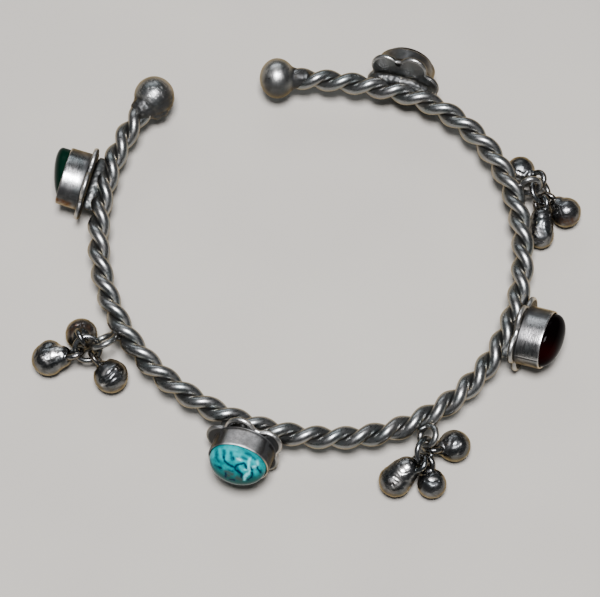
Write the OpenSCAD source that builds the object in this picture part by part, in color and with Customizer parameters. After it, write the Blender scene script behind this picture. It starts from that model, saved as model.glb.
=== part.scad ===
// Open cuff bangle, lying flat: two wires twisted into a rope with a ball on each end,
// four oval stones in high bezels on lobed plates, and three clusters of cast drops.
// X and Y lie in the plane of the band with the opening towards +Y, Z is up from the surface.

/* [Rope] */
// Thickness of the twisted rope over both wires
rope_d = 3.5; // [3.2:0.1:3.6]
// Way along the rope in which a wire makes one full turn
twist_lead = 8.1; // [7.5:0.1:9]
// Angle of the first wire at the left end, from outward towards up
twist_start = -144; // [-180:1:180]
// How far the two wires run into each other, as a share of the wire's radius
wire_merge = 0.1; // [0.06:0.02:0.2]

/* [Ball ends] */
// Diameter of the left ball
ball_d = 6.4; // [5.8:0.1:6.8]
// Diameter of the right ball
right_ball_d = 6.1; // [5.5:0.1:6.8]
// Reach of the neck beside the right ball, from the ball's centre
neck_reach = 4.5; // [4:0.1:5.5]
// Diameter of that neck at the ball's centre, inside the ball
neck_root_d = 4.6; // [4.2:0.1:5]
// Diameter of that neck where the rope begins
neck_tip_d = 2.9; // [2.6:0.1:3.4]

/* [Settings] */
// Length of the bezel cup along the band
bezel_l = 9.2; // [8.8:0.1:9.6]
// Height of the bezel cup across the band
bezel_w = 7.2; // [6.8:0.1:7.4]
// Thickness of the bezel's wall
bezel_wall = 0.35; // [0.3:0.05:0.5]
// Depth of the stone's seat below the bezel's rim
seat_depth = 1.4; // [1.2:0.1:1.6]
// Length of the lobed plate along the band
plate_l = 12; // [11.6:0.1:12.4]
// Height of the lobed plate across the band
plate_w = 10.2; // [10:0.1:10.4]
// Thickness of the lobed plate
plate_t = 0.8; // [0.6:0.1:1]
// Radius of each lobe on the plate's edge
lobe_r = 2.3; // [2.2:0.1:2.4]
// Diameter of the solder under a plate, at the rope's middle
solder_root_d = 2.6; // [2.2:0.1:3]
// Diameter of that solder at the plate
solder_tip_d = 4.8; // [4:0.1:5.4]
// Space between a stone and its bezel
stone_gap = 0.05; // [0.04:0.01:0.08]

/* [Drops] */
// Wire of the loops soldered to the rope
fixed_wire_d = 1; // [0.96:0.02:1.02]
// Depth to which those loops sink into the rope
fixed_sink = 0.3; // [0.25:0.05:0.4]
// Wire of the linking rings
ring_wire_d = 0.86; // [0.8:0.01:0.87]
// Radius of the linking rings, to the middle of the wire
ring_r = 1.85; // [1.84:0.01:1.86]
// Wire of the loop on each drop
loop_wire_d = 0.9; // [0.84:0.01:0.91]
// Radius of the loop on each drop, to the middle of the wire
loop_r = 1.15; // [1.14:0.01:1.16]
// Diameter of a drop's neck where it meets its loop
drop_neck_d = 1.3; // [1.1:0.1:1.4]

/* [Hidden] */

// Bends of the band from the left ball round to the right ball, as seen from above
BEND_R = 0;
BEND_SWEEP = 1;
bends = [
    [36.5, 42],
    [31, 49],
    [38.5, 40],
    [27, 56],
    [33, 46],
    [25, 61],
    [73, 14.2]];
start_xy = [-7.31, 36.49];
start_heading = 204.3;
// Height of the rope's middle, which brings the lowest lobes to the surface
rope_z = 4.95;

// Settings: station along the band, turn about Z, lean of the face upwards, distance of the
// plate's back from the rope's middle, angle of the first lobe, bezel's height, dome's height,
// rise of the stone along the band
SET_STATION = 0;
SET_TURN = 1;
SET_LEAN = 2;
SET_STANDOFF = 3;
SET_CLOCK = 4;
SET_BEZEL = 5;
SET_DOME = 6;
SET_RISE = 7;
LEFT = [17, -3, 10, 2.4, 63, 3.4, 1.5, -0.28];
FRONT = [66, 1, 27, 2.6, 35, 3.5, 2.9, 0];
RIGHT = [111, 2.5, 15, 1.95, 75, 3.65, 2, 0.06];
BACK = [158.8, -1.5, -19, 1.95, 40, 2.9, 2, 0];
SETTINGS = [LEFT, FRONT, RIGHT, BACK];

// Clusters: station of the soldered loop, its droop, its turn about its own reach, then the
// linking ring's turn about Z, its dip below level and its turn about its own reach, then the
// radius of the soldered loop to the middle of its wire
CL_STATION = 0;
CL_DROOP = 1;
CL_ROLL = 2;
CL_YAW = 3;
CL_DIP = 4;
CL_TURN = 5;
CL_RADIUS = 6;
SIDES = ["left", "front", "right"];
CLUSTERS = [
    [41.3, -2, -36, -8, 9, -1, 1.9],
    [90.9, -21, -52, -38, 18, -7, 1.48],
    [133.6, -16, -21, -23, 42, 22, 1.45]];

// Drops of each cluster: place around the linking ring, heading as seen from above, length from
// the loop's centre to the ball's, diameter of the ball, share of it that the neck swells to
DROP_AROUND = 0;
DROP_HEADING = 1;
DROP_LENGTH = 2;
DROP_D = 3;
DROP_SWELL = 4;
DROPS = [
    [[-178, 156, 4.4, 5.2, 0.85], [-93, 75, 3.5, 5, 0.75], [-284, -75, 3.4, 5.3, 0.75]],
    [[-157.5, -177, 4.5, 5, 0.9], [-211, -101, 3, 4.5, 0.8], [-289, -14, 3.4, 4.9, 0.75]],
    [[-283, 109, 3.7, 4.6, 0.8], [-154, -62, 3.2, 4.8, 0.8], [-99, -119, 4.8, 4.2, 0.9]]];
// Space left where one ring hangs in another
hang_gap = 0.1;

// Fineness of the shapes
section_points = 14;
rings_per_turn = 14;
oval_points = 40;
stone_points = 28;
dome_rings = 5;
lobe_count = 5;

function unit(v) = v / norm(v);
function turned(v, k, a) = v * cos(a) + cross(k, v) * sin(a) + k * (k * v) * (1 - cos(a));

// Path of the band: station s is the length along it from the left ball's centre
function bend_length(b) = bends[b][BEND_R] * bends[b][BEND_SWEEP] * PI / 180;
function arc_step(p, h, r, a) = p + r * [sin(h + a) - sin(h), cos(h) - cos(h + a)];
bend_station = [for (b = 0, s = 0; b < len(bends); s = s + bend_length(b), b = b + 1) s];
bend_heading = [for (b = 0, h = start_heading; b < len(bends); h = h + bends[b][BEND_SWEEP], b = b + 1) h];
bend_xy = [for (b = 0, p = start_xy; b < len(bends);
    p = arc_step(p, bend_heading[b], bends[b][BEND_R], bends[b][BEND_SWEEP]), b = b + 1) p];
last_bend = len(bends) - 1;
band_length = bend_station[last_bend] + bend_length(last_bend);

function bend_at(s) = max([for (b = [0:last_bend]) if (b == 0 || s >= bend_station[b]) b]);
function bend_angle(s, b) = (s - bend_station[b]) / bends[b][BEND_R] * 180 / PI;
function heading_at(s) = let (b = bend_at(s)) bend_heading[b] + bend_angle(s, b);
function xy_at(s) = let (b = bend_at(s))
    arc_step(bend_xy[b], bend_heading[b], bends[b][BEND_R], bend_angle(s, b));
function middle_at(s) = let (p = xy_at(s)) [p.x, p.y, rope_z];
function along_at(s) = let (h = heading_at(s)) [cos(h), sin(h), 0];
function outward_at(s) = let (h = heading_at(s)) [sin(h), -cos(h), 0];

// Points its children's Z along v
module aim(v) {
    rotate([0, acos(v.z / norm(v)), atan2(v.y, v.x)]) children();
}

module torus(r, wire_d) {
    rotate_extrude($fn = 48) translate([r, 0]) circle(d = wire_d, $fn = 24);
}

// Rope: its section is two wires side by side, cut slantwise, and it turns along the band
wire_r = rope_d / (4 - 2 * wire_merge);
wire_off = wire_r * (1 - wire_merge);
wire_slant = 1 / cos(atan(2 * PI * wire_off / twist_lead));
wire_sweep = acos(-wire_off / wire_r);
half_points = section_points / 2;
function wire_point(i, side) = let (t = -wire_sweep + 2 * wire_sweep * i / half_points)
    side * [wire_off + wire_r * cos(t), wire_r * wire_slant * sin(t)];
rope_section = [for (side = [1, -1]) for (i = [0:half_points - 1]) wire_point(i, side)];

function rope_ring(s) = let (a = twist_start + 360 * s / twist_lead, m = middle_at(s), o = outward_at(s))
    [for (q = rope_section) m + o * (q.x * cos(a) - q.y * sin(a)) + [0, 0, q.x * sin(a) + q.y * cos(a)]];

// Skin between rings of n points, row by row, and a cap on each end
function skin(rows, n) = [for (k = [0:rows - 2]) for (i = [0:n - 1])
    let (a = k * n + i, b = k * n + (i + 1) % n) each [[a, b, b + n], [a, b + n, a + n]]];
function first_cap(n) = [for (i = [n - 1:-1:0]) i];
function last_cap(rows, n) = [for (i = [0:n - 1]) (rows - 1) * n + i];

module twisted_rope(s0, s1) {
    rows = ceil((s1 - s0) / twist_lead * rings_per_turn) + 1;
    points = [for (k = [0:rows - 1]) each rope_ring(s0 + (s1 - s0) * k / (rows - 1))];
    polyhedron(points, concat(skin(rows, section_points), [first_cap(section_points)],
        [last_cap(rows, section_points)]), convexity = 12);
}

module left_end() {
    translate(middle_at(0)) sphere(d = ball_d, $fn = 48);
}

// The sphere is turned so that its seam faces away from the neck: a seam that the neck's cut
// crosses comes back inside-out from the STEP file
module right_end() {
    translate(middle_at(band_length)) rotate([0, 0, heading_at(band_length)])
        sphere(d = right_ball_d, $fn = 48);
    translate(middle_at(band_length)) aim(-along_at(band_length))
        cylinder(h = neck_reach, d1 = neck_root_d, d2 = neck_tip_d, $fn = 36);
}

// Setting: children of on_plate have X along the band, Y up and Z out of the plate's back
function oval(l, w, n) = [for (i = [0:n - 1]) [l / 2 * cos(360 * i / n), w / 2 * sin(360 * i / n)]];
function lobe_centre(clock, i) = let (a = clock + 360 * i / lobe_count)
    [(plate_l / 2 - lobe_r) * cos(a), (plate_w / 2 - lobe_r) * sin(a)];
function plate_reach(clock) = max([for (i = [0:lobe_count - 1]) lobe_r - lobe_centre(clock, i).y]);
function plate_z(set) = let (lean = set[SET_LEAN])
    plate_reach(set[SET_CLOCK]) * cos(lean) + plate_t * max(0, -sin(lean));

function plate_at(set) = let (s = set[SET_STATION], p = middle_at(s) + outward_at(s) * set[SET_STANDOFF])
    [p.x, p.y, plate_z(set)];

module on_plate(set) {
    translate(plate_at(set)) rotate([0, 0, heading_at(set[SET_STATION]) - 90 + set[SET_TURN]])
        rotate([0, -set[SET_LEAN], 0]) rotate([90, 0, 90]) children();
}

module lobed_plate(clock) {
    linear_extrude(plate_t) polygon(oval(bezel_l + 0.4, bezel_w + 0.4, oval_points));
    for (i = [0:lobe_count - 1])
        translate(lobe_centre(clock, i)) cylinder(h = plate_t, r = lobe_r, $fn = 32);
}

module bezel(height) {
    difference() {
        linear_extrude(plate_t + height) polygon(oval(bezel_l, bezel_w, oval_points));
        translate([0, 0, plate_t + height - seat_depth]) linear_extrude(seat_depth + 1)
            polygon(oval(bezel_l - 2 * bezel_wall, bezel_w - 2 * bezel_wall, oval_points));
    }
}

module setting(set) {
    on_plate(set) {
        lobed_plate(set[SET_CLOCK]);
        bezel(set[SET_BEZEL]);
    }
    root = middle_at(set[SET_STATION]);
    reach = plate_at(set) + outward_at(set[SET_STATION]) * plate_t / 2 - root;
    translate(root) aim(reach) cylinder(h = norm(reach), d1 = solder_root_d, d2 = solder_tip_d, $fn = 36);
}

// Stone: an oval base in the seat and a dome above the rim, as rings of points
module stone(set) {
    l = bezel_l / 2 - bezel_wall - stone_gap;
    w = bezel_w / 2 - bezel_wall - stone_gap;
    rim = plate_t + set[SET_BEZEL];
    heights = [rim - seat_depth + stone_gap,
        for (k = [0:dome_rings - 1]) rim + set[SET_DOME] * sin(90 * k / dome_rings)];
    shares = [1, for (k = [0:dome_rings - 1]) pow(cos(90 * k / dome_rings), 0.8)];
    rows = dome_rings + 1;
    n = stone_points;
    points = [for (k = [0:rows - 1]) for (i = [0:n - 1]) let (x = l * shares[k] * cos(360 * i / n))
        [x, -w * shares[k] * sin(360 * i / n), heights[k] + (k == 0 ? 0 : set[SET_RISE] * x)]];
    top = [0, 0, rim + set[SET_DOME]];
    crown = [for (i = [0:n - 1]) [(rows - 1) * n + i, (rows - 1) * n + (i + 1) % n, rows * n]];
    on_plate(set) polyhedron(concat(points, [top]), concat(skin(rows, n), [first_cap(n)], crown));
}

// Loop soldered to the rope, and the linking ring that hangs in it
up = [0, 0, 1];
function loop_out(c) = turned(outward_at(c[CL_STATION]), along_at(c[CL_STATION]), c[CL_DROOP]);
function loop_centre(c) = middle_at(c[CL_STATION]) + outward_at(c[CL_STATION]) * (rope_d / 2 - fixed_sink)
    + loop_out(c) * c[CL_RADIUS];
function loop_axis(c) = turned(along_at(c[CL_STATION]), loop_out(c), c[CL_ROLL]);
function ring_way(c) = let (v = turned(outward_at(c[CL_STATION]), up, c[CL_YAW]))
    v * cos(c[CL_DIP]) - up * sin(c[CL_DIP]);
function ring_hook(c) = let (v = ring_way(c), m = loop_axis(c))
    loop_centre(c) + unit(v - m * (v * m)) * (c[CL_RADIUS] - (fixed_wire_d + ring_wire_d) / 2 - hang_gap);
function ring_centre(c) = ring_hook(c) + ring_way(c) * ring_r;
function ring_axis(c) = let (v = ring_way(c), m = loop_axis(c))
    turned(unit(cross(m - v * (v * m), v)), v, c[CL_TURN]);

// Drop: where its loop hangs in the ring, the way it points, and its ball on the surface
hang_off = loop_r - (loop_wire_d + ring_wire_d) / 2 - hang_gap;
function drop_hook(c, d) = ring_centre(c) - ring_r * turned(ring_way(c), ring_axis(c), d[DROP_AROUND]);
function drop_way(c, d) = let (fall = (drop_hook(c, d).z - d[DROP_D] / 2) / (d[DROP_LENGTH] + hang_off),
    flat = sqrt(1 - fall * fall)) [cos(d[DROP_HEADING]) * flat, sin(d[DROP_HEADING]) * flat, -fall];
function drop_eye(c, d) = drop_hook(c, d) + drop_way(c, d) * hang_off;
function drop_axis(c, d) = let (way = drop_way(c, d),
    v = cross(ring_axis(c), drop_hook(c, d) - ring_centre(c))) unit(v - way * (v * way));

module fixed_loop(c) {
    translate(loop_centre(c)) aim(loop_axis(c)) torus(c[CL_RADIUS], fixed_wire_d);
}

module linking_ring(c) {
    color("dimgray") translate(ring_centre(c)) aim(ring_axis(c)) torus(ring_r, ring_wire_d);
}

module drop(c, d) {
    way = drop_way(c, d);
    eye = drop_eye(c, d);
    color("dimgray") union() {
        translate(eye) aim(drop_axis(c, d)) torus(loop_r, loop_wire_d);
        translate(eye + way * d[DROP_LENGTH]) aim(-way) {
            sphere(d = d[DROP_D], $fn = 48);
            cylinder(h = d[DROP_LENGTH] - loop_r - 0.1, d1 = d[DROP_D] * d[DROP_SWELL],
                d2 = drop_neck_d, $fn = 36);
        }
    }
}

module band() {
    color("dimgray") union() {
        twisted_rope(ball_d / 4, band_length - ball_d / 4);
        left_end();
        right_end();
        for (set = SETTINGS) setting(set);
        for (c = CLUSTERS) fixed_loop(c);
    }
}

band();
color("darkgreen") stone(LEFT);  // stone_left
color("darkturquoise") stone(FRONT);  // stone_front
color("maroon") stone(RIGHT);  // stone_right
color("maroon") stone(BACK);  // stone_back
for (k = [0:2]) linking_ring(CLUSTERS[k]);
for (k = [0:2], i = [0:2])
    drop(CLUSTERS[k], DROPS[k][i]);
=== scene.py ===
import math

import bpy
import numpy as np
from mathutils import Matrix, Vector


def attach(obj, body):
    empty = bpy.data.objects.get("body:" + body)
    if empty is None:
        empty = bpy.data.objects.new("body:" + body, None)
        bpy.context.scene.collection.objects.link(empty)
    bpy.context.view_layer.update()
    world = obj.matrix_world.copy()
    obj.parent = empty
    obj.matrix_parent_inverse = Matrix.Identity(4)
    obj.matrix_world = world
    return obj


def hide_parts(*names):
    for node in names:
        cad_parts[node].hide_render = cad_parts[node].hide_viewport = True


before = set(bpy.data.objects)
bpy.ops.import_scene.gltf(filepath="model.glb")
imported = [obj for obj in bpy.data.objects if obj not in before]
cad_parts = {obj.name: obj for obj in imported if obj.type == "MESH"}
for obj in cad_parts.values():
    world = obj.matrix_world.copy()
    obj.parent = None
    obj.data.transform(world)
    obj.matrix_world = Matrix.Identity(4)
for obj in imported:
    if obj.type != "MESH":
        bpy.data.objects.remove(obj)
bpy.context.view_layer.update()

# Sizes in millimetres, as in the frame
MM = 0.001
ROPE_D, LEAD, TWIST_START, MERGE = 3.5, 8.1, -144.0, 0.1
BALL_D, RIGHT_BALL_D, RIGHT_BALL_L, NECK_REACH, NECK_ROOT, NECK_TIP = 6.4, 6.3, 5.6, 4.5, 4.6, 2.9
BEZEL_L, BEZEL_W, BEZEL_WALL, SEAT = 9.2, 7.2, 0.35, 1.4
PLATE_L, PLATE_W, PLATE_T, LOBE_R, LOBES = 12.0, 10.2, 0.8, 2.3, 5
FIXED_WIRE, FIXED_SINK = 1.0, 0.3
RING_WIRE, RING_R, LOOP_WIRE, LOOP_R, HANG_GAP, DROP_NECK = 0.86, 1.85, 0.9, 1.15, 0.1, 1.3
ROPE_Z = 4.95
START_XY, START_HEADING = (-7.31, 36.49), 204.3
BENDS = [(36.5, 42), (31, 49), (38.5, 40), (27, 56), (33, 46), (25, 61), (73, 14.2)]
# Station, turn, lean, standoff, angle of the first lobe, bezel's height, dome's height, stone's rise
SETTINGS = {
    "left": (17, -3, 10, 2.4, 63, 3.4, 1.5, -0.28),
    "front": (66, 1, 27, 2.6, 35, 3.5, 2.9, 0),
    "right": (111, 2.5, 15, 1.95, 75, 3.65, 2.0, 0.06),
    "back": (158.8, -1.5, -19, 1.95, 40, 2.9, 2.0, 0),
}
# Station, droop and roll of the soldered loop, then yaw, dip and turn of the ring, loop's radius
CLUSTERS = {
    "left": (41.3, -2, -36, -8, 9, -1, 1.9),
    "front": (90.9, -21, -52, -38, 18, -7, 1.48),
    "right": (133.6, -16, -21, -23, 42, 22, 1.45),
}
# Place around the ring, heading, length, ball's diameter, share of it that the neck swells to
DROPS = {
    "left": [(-178, 156, 4.4, 5.2, 0.85), (-93, 75, 3.5, 5, 0.75), (-284, -75, 3.4, 5.3, 0.75)],
    "front": [(-157.5, -177, 4.5, 5, 0.9), (-211, -101, 3, 4.5, 0.8), (-289, -14, 3.4, 4.9, 0.75)],
    "right": [(-283, 109, 3.7, 4.6, 0.8), (-154, -62, 3.2, 4.8, 0.8), (-99, -119, 4.8, 4.2, 0.9)],
}
UP = np.array([0.0, 0.0, 1.0])


def unit(v):
    v = np.asarray(v, float)
    return v / np.linalg.norm(v, axis=-1, keepdims=True)


def turned(v, k, degrees):
    a = math.radians(degrees)
    return v * math.cos(a) + np.cross(k, v) * math.sin(a) + k * (k @ v) * (1 - math.cos(a))


def smooth(x, lo, hi):
    t = np.clip((x - lo) / (hi - lo), 0, 1)
    return t * t * (3 - 2 * t)


# Path of the band
def bend_table():
    rows, s, p, h = [], 0.0, np.array(START_XY, float), START_HEADING
    for r, sweep in BENDS:
        rows.append((s, p.copy(), h, r))
        a, b = math.radians(h), math.radians(h + sweep)
        p = p + r * np.array([math.sin(b) - math.sin(a), math.cos(a) - math.cos(b)])
        s += r * math.radians(sweep)
        h += sweep
    return rows, s


TABLE, LENGTH = bend_table()


def path(s):
    s = np.atleast_1d(np.asarray(s, float))
    starts = np.array([row[0] for row in TABLE])
    b = np.clip(np.searchsorted(starts, s, side="right") - 1, 0, len(TABLE) - 1)
    r = np.array([row[3] for row in TABLE])[b]
    p = np.array([row[1] for row in TABLE])[b]
    h0 = np.radians(np.array([row[2] for row in TABLE])[b])
    h = h0 + (s - starts[b]) / r
    xy = p + r[:, None] * np.column_stack([np.sin(h) - np.sin(h0), np.cos(h0) - np.cos(h)])
    middle = np.column_stack([xy, np.full(len(s), ROPE_Z)])
    zero = np.zeros(len(s))
    along = np.column_stack([np.cos(h), np.sin(h), zero])
    outward = np.column_stack([np.sin(h), -np.cos(h), zero])
    return middle, along, outward


def at(s):
    m, t, n = path(s)
    return m[0], t[0], n[0]


# Length of the table of random heights, a power of two, and the primes that scatter places over it
LATTICE = 4096
PRIMES = (73856093, 19349663, 83492791)


# Smooth random lumps, the same each run
def lumps(p, size, seed):
    rng = np.random.default_rng(seed)
    table = rng.uniform(-1, 1, LATTICE)
    q = np.asarray(p, float) / size + rng.uniform(0, 50, 3)
    i = np.floor(q).astype(np.int64)
    f = q - i
    f = f * f * (3 - 2 * f)
    out = np.zeros(len(q))
    for dx in (0, 1):
        for dy in (0, 1):
            for dz in (0, 1):
                x, y, z = i[:, 0] + dx, i[:, 1] + dy, i[:, 2] + dz
                key = (x * PRIMES[0] ^ y * PRIMES[1] ^ z * PRIMES[2]) & (LATTICE - 1)
                w = (f[:, 0] if dx else 1 - f[:, 0]) * (f[:, 1] if dy else 1 - f[:, 1])
                out += table[key] * w * (f[:, 2] if dz else 1 - f[:, 2])
    return out


# Where the picture is taken from, and the directions that it sees as right, up and nearer
CAM_AT = np.array([-52.30, -102.28, 284.0])
ELEVATION, ROLL, PLAN_TURN, FOCAL = math.radians(68.46), math.radians(0.84), -26.7, 2012.5


def camera_axes():
    side = np.array([1.0, 0, 0])
    drop = np.array([0, -math.sin(ELEVATION), -math.cos(ELEVATION)])
    right = side * math.cos(ROLL) + drop * math.sin(ROLL)
    down = drop * math.cos(ROLL) - side * math.sin(ROLL)
    ahead = np.array([0, math.cos(ELEVATION), -math.sin(ELEVATION)])
    return [turned(v, UP, PLAN_TURN) for v in (right, -down, -ahead)]


RIGHTWARD, UPWARD, NEARER = camera_axes()


def facing(x, y):
    """Direction from a ball's centre to the spot of its near side at x, y as shares of its radius."""
    return unit(x * RIGHTWARD + y * UPWARD + math.sqrt(max(0.0, 1 - x * x - y * y)) * NEARER)


# Meshes: a part is its points in mm, faces, uv and named values of its points
def make(name, parts, material, slot, *nodes):
    points, faces, uvs, base = [], [], [], 0
    for p, f, uv, marks in parts:
        points.append(p)
        faces += [tuple(int(i) + base for i in face) for face in f]
        uvs.append(uv if uv is not None else p[:, :2])
        base += len(p)
    points, uvs = np.vstack(points), np.vstack(uvs)
    mesh = bpy.data.meshes.new(name)
    mesh.from_pydata((points * MM).tolist(), [], faces)
    mesh.validate()
    mesh.update()
    mesh.polygons.foreach_set("use_smooth", [True] * len(mesh.polygons))
    loops = np.zeros(len(mesh.loops), np.int32)
    mesh.loops.foreach_get("vertex_index", loops)
    layer = mesh.uv_layers.new(name="UVMap")
    layer.data.foreach_set("uv", uvs[loops].astype(np.float32).ravel())
    for kind in sorted({k for part in parts for k in part[3]}):
        values = np.concatenate([np.broadcast_to(marks.get(kind, 0.0), len(p)) for p, f, uv, marks in parts])
        mesh.attributes.new(kind, "FLOAT", "POINT").data.foreach_set("value", values.astype(np.float32))
    obj = bpy.data.objects.new(name, mesh)
    bpy.context.scene.collection.objects.link(obj)
    mesh.materials.append(material)
    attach(obj, "root")
    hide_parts(*nodes)
    return obj


def grid_faces(rows, n, closed_rows=False):
    faces = []
    for k in range(rows if closed_rows else rows - 1):
        a0, b0 = k * n, ((k + 1) % rows) * n
        for i in range(n):
            j = (i + 1) % n
            faces.append((a0 + i, a0 + j, b0 + j, b0 + i))
    return faces


def capped_faces(rows, n):
    return grid_faces(rows, n) + [tuple(range(n - 1, -1, -1)), tuple((rows - 1) * n + i for i in range(n))]


def ring_basis(axis):
    a = unit(np.cross(axis, [0.31, 0.52, 0.79]))
    return a, np.cross(axis, a)


def torus(centre, axis, r, wire_d, around=72, across=20, rough=0.012, seed=1):
    axis = unit(axis)
    a, b = ring_basis(axis)
    t = np.linspace(0, 2 * np.pi, around, endpoint=False)
    u = np.linspace(0, 2 * np.pi, across, endpoint=False)
    radial = np.cos(t)[:, None] * a + np.sin(t)[:, None] * b
    p = centre + radial[:, None, :] * (r + wire_d / 2 * np.cos(u)[None, :, None]) \
        + axis * (wire_d / 2 * np.sin(u)[None, :, None])
    p = p.reshape(-1, 3)
    out = unit(p - np.repeat(centre + radial * r, across, axis=0))
    p = p - out * (rough * (1 + lumps(p, 0.9, seed)))[:, None]
    uv = np.column_stack([np.repeat(t * r, across), np.tile(u * wire_d / 2, around)])
    return p, [f[::-1] for f in grid_faces(around, across, True)], uv, {}


def revolve(centre, axis, xs, rs, around=56, rough=0.0, size=1.6, seed=1):
    """Turned shape along axis, its surface pushed inwards by soft lumps."""
    axis = unit(axis)
    a, b = ring_basis(axis)
    t = np.linspace(0, 2 * np.pi, around, endpoint=False)
    spoke = np.cos(t)[:, None] * a + np.sin(t)[:, None] * b
    p = np.vstack([centre + axis * x + spoke * max(r, 1e-3) for x, r in zip(xs, rs)])
    p = p + unit(centre - p) * (rough * (1 + lumps(p, size, seed)))[:, None]
    uv = np.column_stack([np.repeat(xs, around), np.tile(t, len(xs))])
    return p, [f[::-1] for f in capped_faces(len(xs), around)], uv, {}


def blob(centre, radii, seed, rough=0.12, size=0.8):
    """Lump of solder: an ellipsoid on three axes given as vectors."""
    t = np.linspace(0.05, np.pi - 0.05, 18)
    u = np.linspace(0, 2 * np.pi, 26, endpoint=False)
    a, b, c = [np.asarray(v, float) for v in radii]
    if np.dot(np.cross(a, b), c) < 0:
        a, b = b, a
    equator = np.cos(u)[:, None] * a + np.sin(u)[:, None] * b
    p = np.vstack([centre - c * math.cos(v) + math.sin(v) * equator for v in t])
    p = p + unit(centre - p) * (rough * (1 + lumps(p, size, seed)))[:, None]
    return p, capped_faces(len(t), len(u)), None, {}


def ball_profile(radius, root, tip, reach, steps=30, tail=0.0, flat=1.0):
    """Ball with a neck on its +x side that may close over a tail: distances along the axis, and radii."""
    half = radius * flat
    xs = [x for x in -half * np.cos(np.linspace(0.03, np.pi, steps)) if x < half * 0.55]
    xs += list(np.linspace(half * 0.6, reach, 14))
    rs = []
    k = 9.0  # how sharply the ball meets its neck
    for x in xs:
        ball = radius * math.sqrt(max(1 - x * x / (half * half), 0.0))
        cone = root + (tip - root) * x / reach
        blend = math.log(math.exp(k * (ball - 1)) + math.exp(k * (cone - 1))) / k + 0.98
        rs.append(ball if x <= 0 else blend)
    if tail:
        for u in np.linspace(0.1, 1, 12):
            xs.append(reach + tail * u)
            rs.append(tip * (1 - u ** 1.6) + 0.02)
    return np.array(xs), np.array(rs)


def fused(parts, voxel, passes=4):
    """Melts closed parts into one skin: points in mm, their normals and the faces."""
    points, faces, base = [], [], 0
    for p, f, _, _ in parts:
        points.append(p)
        faces += [tuple(int(i) + base for i in face) for face in f]
        base += len(p)
    mesh = bpy.data.meshes.new("melt")
    mesh.from_pydata(np.vstack(points).tolist(), [], faces)
    obj = bpy.data.objects.new("melt", mesh)
    bpy.context.scene.collection.objects.link(obj)
    melt = obj.modifiers.new("melt", "REMESH")
    melt.mode, melt.voxel_size = "VOXEL", voxel
    soften = obj.modifiers.new("soften", "SMOOTH")
    soften.factor, soften.iterations = 0.5, passes
    done = obj.evaluated_get(bpy.context.evaluated_depsgraph_get())
    skin = done.to_mesh()
    p, n = np.zeros(len(skin.vertices) * 3, np.float32), np.zeros(len(skin.vertices) * 3, np.float32)
    skin.vertices.foreach_get("co", p)
    skin.vertices.foreach_get("normal", n)
    quads = [tuple(f.vertices) for f in skin.polygons]
    done.to_mesh_clear()
    bpy.data.objects.remove(obj)
    bpy.data.meshes.remove(mesh)
    return p.reshape(-1, 3).astype(float), n.reshape(-1, 3).astype(float), quads


def score(p, centre, line, width):
    """How near each point is, from 1 down to 0, to a line drawn on the near side of a ball."""
    d = unit(p - centre)
    near = np.full(len(p), 9.0)
    stops = [facing(x, y) for x, y in line]
    for a, b in zip(stops[:-1], stops[1:]):
        t = np.clip((d - a) @ (b - a) / max((b - a) @ (b - a), 1e-9), 0, 1)
        near = np.minimum(near, np.linalg.norm(d - a - t[:, None] * (b - a), axis=1))
    return np.exp(-(near / width) ** 2)


# Materials
def nodes_of(name):
    m = bpy.data.materials.new(name)
    m.use_nodes = True
    nt = m.node_tree
    return m, nt, nt.nodes["Principled BSDF"]


def node(nt, kind, **values):
    n = nt.nodes.new(kind)
    for k, v in values.items():
        if k in n.inputs:
            n.inputs[k].default_value = v
        else:
            setattr(n, k, v)
    return n


def ramp(nt, source, stops):
    n = nt.nodes.new("ShaderNodeValToRGB")
    e = n.color_ramp.elements
    while len(e) < len(stops):
        e.new(0.5)
    for el, (pos, col) in zip(e, stops):
        el.position = pos
        el.color = col if len(col) == 4 else (*col, 1)
    nt.links.new(source, n.inputs["Fac"])
    return n.outputs["Color"]


def grey(v):
    return (v, v, v, 1)


def mix(nt, fac, a, b, blend="MIX"):
    n = nt.nodes.new("ShaderNodeMix")
    n.data_type = "RGBA"
    n.blend_type = blend
    for socket, value in ((n.inputs[0], fac), (n.inputs[6], a), (n.inputs[7], b)):
        if isinstance(value, (int, float, tuple)):
            socket.default_value = value
        else:
            nt.links.new(value, socket)
    return n.outputs[2]


def noise(nt, coords, scale, detail=4.0, rough=0.55, stretch=None):
    if stretch:
        mp = node(nt, "ShaderNodeMapping")
        mp.inputs["Scale"].default_value = stretch
        nt.links.new(coords, mp.inputs["Vector"])
        coords = mp.outputs["Vector"]
    n = node(nt, "ShaderNodeTexNoise", Scale=scale, Detail=detail, Roughness=rough)
    nt.links.new(coords, n.inputs["Vector"])
    return n.outputs["Fac"]


def bump(nt, height, strength, distance, below=None):
    n = node(nt, "ShaderNodeBump", Strength=strength, Distance=distance)
    nt.links.new(height, n.inputs["Height"])
    if below is not None:
        nt.links.new(below, n.inputs["Normal"])
    return n.outputs["Normal"]


def mark(nt, name):
    return node(nt, "ShaderNodeAttribute", attribute_name=name).outputs["Fac"]


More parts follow.
